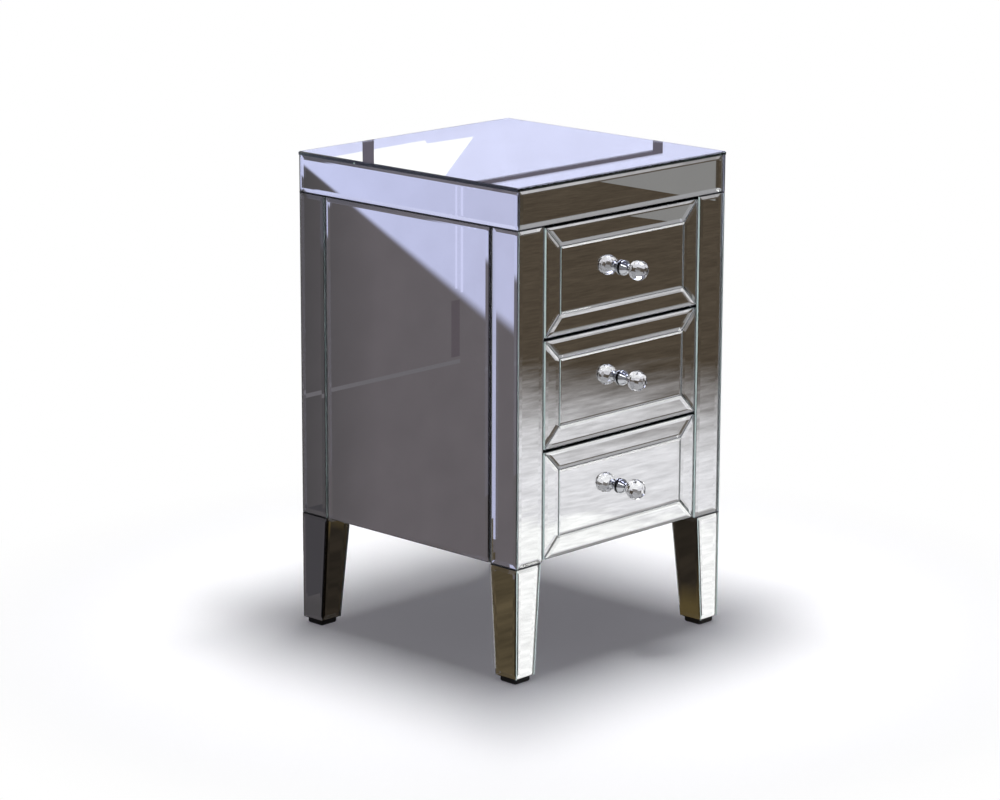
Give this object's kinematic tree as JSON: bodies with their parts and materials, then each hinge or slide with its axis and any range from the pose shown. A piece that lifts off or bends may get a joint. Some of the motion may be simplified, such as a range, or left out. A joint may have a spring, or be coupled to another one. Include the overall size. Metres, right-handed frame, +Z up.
{
  "type": "mirrored bedside chest",
  "caption": "Square bedside chest clad in bevelled mirror, with sliding drawers, faceted crystal knobs and tapered mirrored legs on black glides.",
  "frame": {"origin": "on the floor, at the middle of the space that the chest and its knobs take", "axes": "+Z up, +X to the right of someone facing the drawers, front towards -Y"},
  "size_m": [0.4, 0.4378, 0.65],
  "materials": {
    "mirror_glass": "silvered float glass with ground, polished bevels",
    "painted_board": "fibreboard painted satin black",
    "drawer_board": "board with a black paper foil",
    "runner_beech": "planed and waxed beech",
    "cut_crystal": "faceted clear crystal",
    "chrome": "bright chrome plate",
    "zinc_steel": "zinc plated steel",
    "black_nylon": "moulded black nylon"
  },
  "bodies": {
    "cabinet": {"top_mirror": "mirror_glass", "top_board": "painted_board", "apron_rails": "painted_board", "fascia_mirror_front": "mirror_glass", "fascia_mirror_left": "mirror_glass", "fascia_mirror_right": "mirror_glass", "corner_post_front_left": "painted_board", "corner_post_front_right": "painted_board", "corner_post_rear_left": "painted_board", "corner_post_rear_right": "painted_board", "side_panel_left": "painted_board", "side_panel_right": "painted_board", "back_panel": "painted_board", "bottom_panel": "painted_board", "side_mirror_left": "mirror_glass", "side_mirror_right": "mirror_glass", "stile_mirrors_left": "mirror_glass", "stile_mirrors_right": "mirror_glass", "stile_mirrors_front": "mirror_glass", "leg_front_left": "painted_board", "leg_mirrors_front_left": "mirror_glass", "leg_front_right": "painted_board", "leg_mirrors_front_right": "mirror_glass", "leg_rear_left": "painted_board", "leg_mirrors_rear_left": "mirror_glass", "leg_rear_right": "painted_board", "leg_mirrors_rear_right": "mirror_glass", "leg_bolts": "zinc_steel", "floor_glides": "black_nylon", "runners_bottom": "runner_beech", "runners_middle": "runner_beech", "runners_top": "runner_beech"},
    "drawer_top": {"drawer_top_front_board": "painted_board", "drawer_top_border_mirrors": "mirror_glass", "drawer_top_centre_mirror": "mirror_glass", "drawer_top_box_sides": "drawer_board", "drawer_top_box_back": "drawer_board", "drawer_top_box_floor": "drawer_board", "drawer_top_knob_ball": "cut_crystal", "drawer_top_knob_base": "chrome", "drawer_top_knob_screw": "zinc_steel"},
    "drawer_middle": {"drawer_middle_front_board": "painted_board", "drawer_middle_border_mirrors": "mirror_glass", "drawer_middle_centre_mirror": "mirror_glass", "drawer_middle_box_sides": "drawer_board", "drawer_middle_box_back": "drawer_board", "drawer_middle_box_floor": "drawer_board", "drawer_middle_knob_ball": "cut_crystal", "drawer_middle_knob_base": "chrome", "drawer_middle_knob_screw": "zinc_steel"},
    "drawer_bottom": {"drawer_bottom_front_board": "painted_board", "drawer_bottom_border_mirrors": "mirror_glass", "drawer_bottom_centre_mirror": "mirror_glass", "drawer_bottom_box_sides": "drawer_board", "drawer_bottom_box_back": "drawer_board", "drawer_bottom_box_floor": "drawer_board", "drawer_bottom_knob_ball": "cut_crystal", "drawer_bottom_knob_base": "chrome", "drawer_bottom_knob_screw": "zinc_steel"}
  },
  "joints": [
    {"name": "drawer_top_slide", "type": "slide", "parent": "cabinet", "child": "drawer_top", "axis": [0, -1, 0], "range_m": [0, 0.24]},
    {"name": "drawer_middle_slide", "type": "slide", "parent": "cabinet", "child": "drawer_middle", "axis": [0, -1, 0], "range_m": [0, 0.24]},
    {"name": "drawer_bottom_slide", "type": "slide", "parent": "cabinet", "child": "drawer_bottom", "axis": [0, -1, 0], "range_m": [0, 0.24]}
  ]
}
